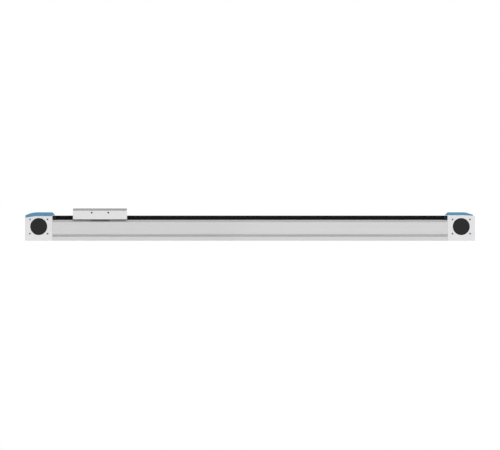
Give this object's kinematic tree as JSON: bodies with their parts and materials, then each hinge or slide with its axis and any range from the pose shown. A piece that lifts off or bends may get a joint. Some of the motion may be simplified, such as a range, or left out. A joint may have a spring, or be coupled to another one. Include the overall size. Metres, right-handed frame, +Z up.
{
  "type": "toothed belt linear axis",
  "caption": "Long aluminium profile with a recessed ball rail, a belt-driven carriage and pulley housings with blue covers at both ends.",
  "frame": {"origin": "under the middle of the axis, on the surface it stands on", "axes": "+X along the axis from the drive end to the idler end, +Y to the back, +Z up"},
  "size_m": [1.08, 0.083, 0.0775],
  "materials": {
    "profile_aluminium": "natural satin anodised extrusion",
    "housing_aluminium": "fine blasted, natural anodised",
    "carriage_aluminium": "natural satin anodised",
    "pulley_aluminium": "turned and hobbed",
    "blue_plastic": "moulded, fine matte grain",
    "black_plastic": "moulded, satin",
    "belt_rubber": "polyurethane belt with a smooth back",
    "buffer_rubber": "matte",
    "rail_steel": "ground and black coated",
    "runner_steel": "ground",
    "bearing_steel": "ground",
    "spring_steel": "phosphated",
    "flange_steel": "zinc plated",
    "screw_steel": "zinc plated",
    "clamp_bronze": "as cast"
  },
  "bodies": {
    "axis_frame": {"profile": "profile_aluminium", "guide_rail": "rail_steel", "rail_screws": "screw_steel", "channel_strips": "black_plastic", "drive_housing": "housing_aluminium", "idler_housing": "housing_aluminium", "housing_screws": "screw_steel", "drive_belt_cover": "blue_plastic", "idler_belt_cover": "blue_plastic", "drive_cap_front": "black_plastic", "drive_cap_rear": "black_plastic", "idler_cap_front": "black_plastic", "idler_cap_rear": "black_plastic", "bearing_outer_rings": "bearing_steel", "bearing_circlips": "spring_steel", "end_buffers": "buffer_rubber", "toothed_belt": "belt_rubber"},
    "carriage": {"carriage_plate": "carriage_aluminium", "switch_magnet": "black_plastic", "runner_block": "runner_steel", "runner_end_caps": "black_plastic", "runner_seals": "buffer_rubber", "runner_screws": "screw_steel", "left_belt_clamp": "clamp_bronze", "right_belt_clamp": "clamp_bronze", "clamp_screws": "screw_steel", "left_end_plate": "black_plastic", "right_end_plate": "black_plastic", "end_plate_screws": "screw_steel"},
    "drive_pulley_shaft": {"drive_pulley": "pulley_aluminium", "drive_pulley_flanges": "flange_steel", "drive_bearing_inner_rings": "bearing_steel"},
    "idler_pulley_shaft": {"idler_pulley": "pulley_aluminium", "idler_pulley_flanges": "flange_steel", "idler_bearing_inner_rings": "bearing_steel"}
  },
  "joints": [
    {"name": "carriage_slide", "type": "slide", "parent": "axis_frame", "child": "carriage", "axis": [1, 0, 0], "range_m": [-0.04, 0.76], "deforming": ["toothed_belt"]},
    {"name": "drive_pulley_spin", "type": "hinge", "parent": "axis_frame", "child": "drive_pulley_shaft", "pos_m": [-0.507, 0, 0.034], "axis": [0, 1, 0], "range_deg": [-91, 1711]},
    {"name": "idler_pulley_spin", "type": "hinge", "parent": "axis_frame", "child": "idler_pulley_shaft", "pos_m": [0.507, 0, 0.034], "axis": [0, 1, 0], "range_deg": [-91, 1711]}
  ],
  "couplings": [
    {"joint": "drive_pulley_spin", "follows": "carriage_slide", "rad_per_m": 39.27},
    {"joint": "idler_pulley_spin", "follows": "carriage_slide", "rad_per_m": 39.27}
  ]
}
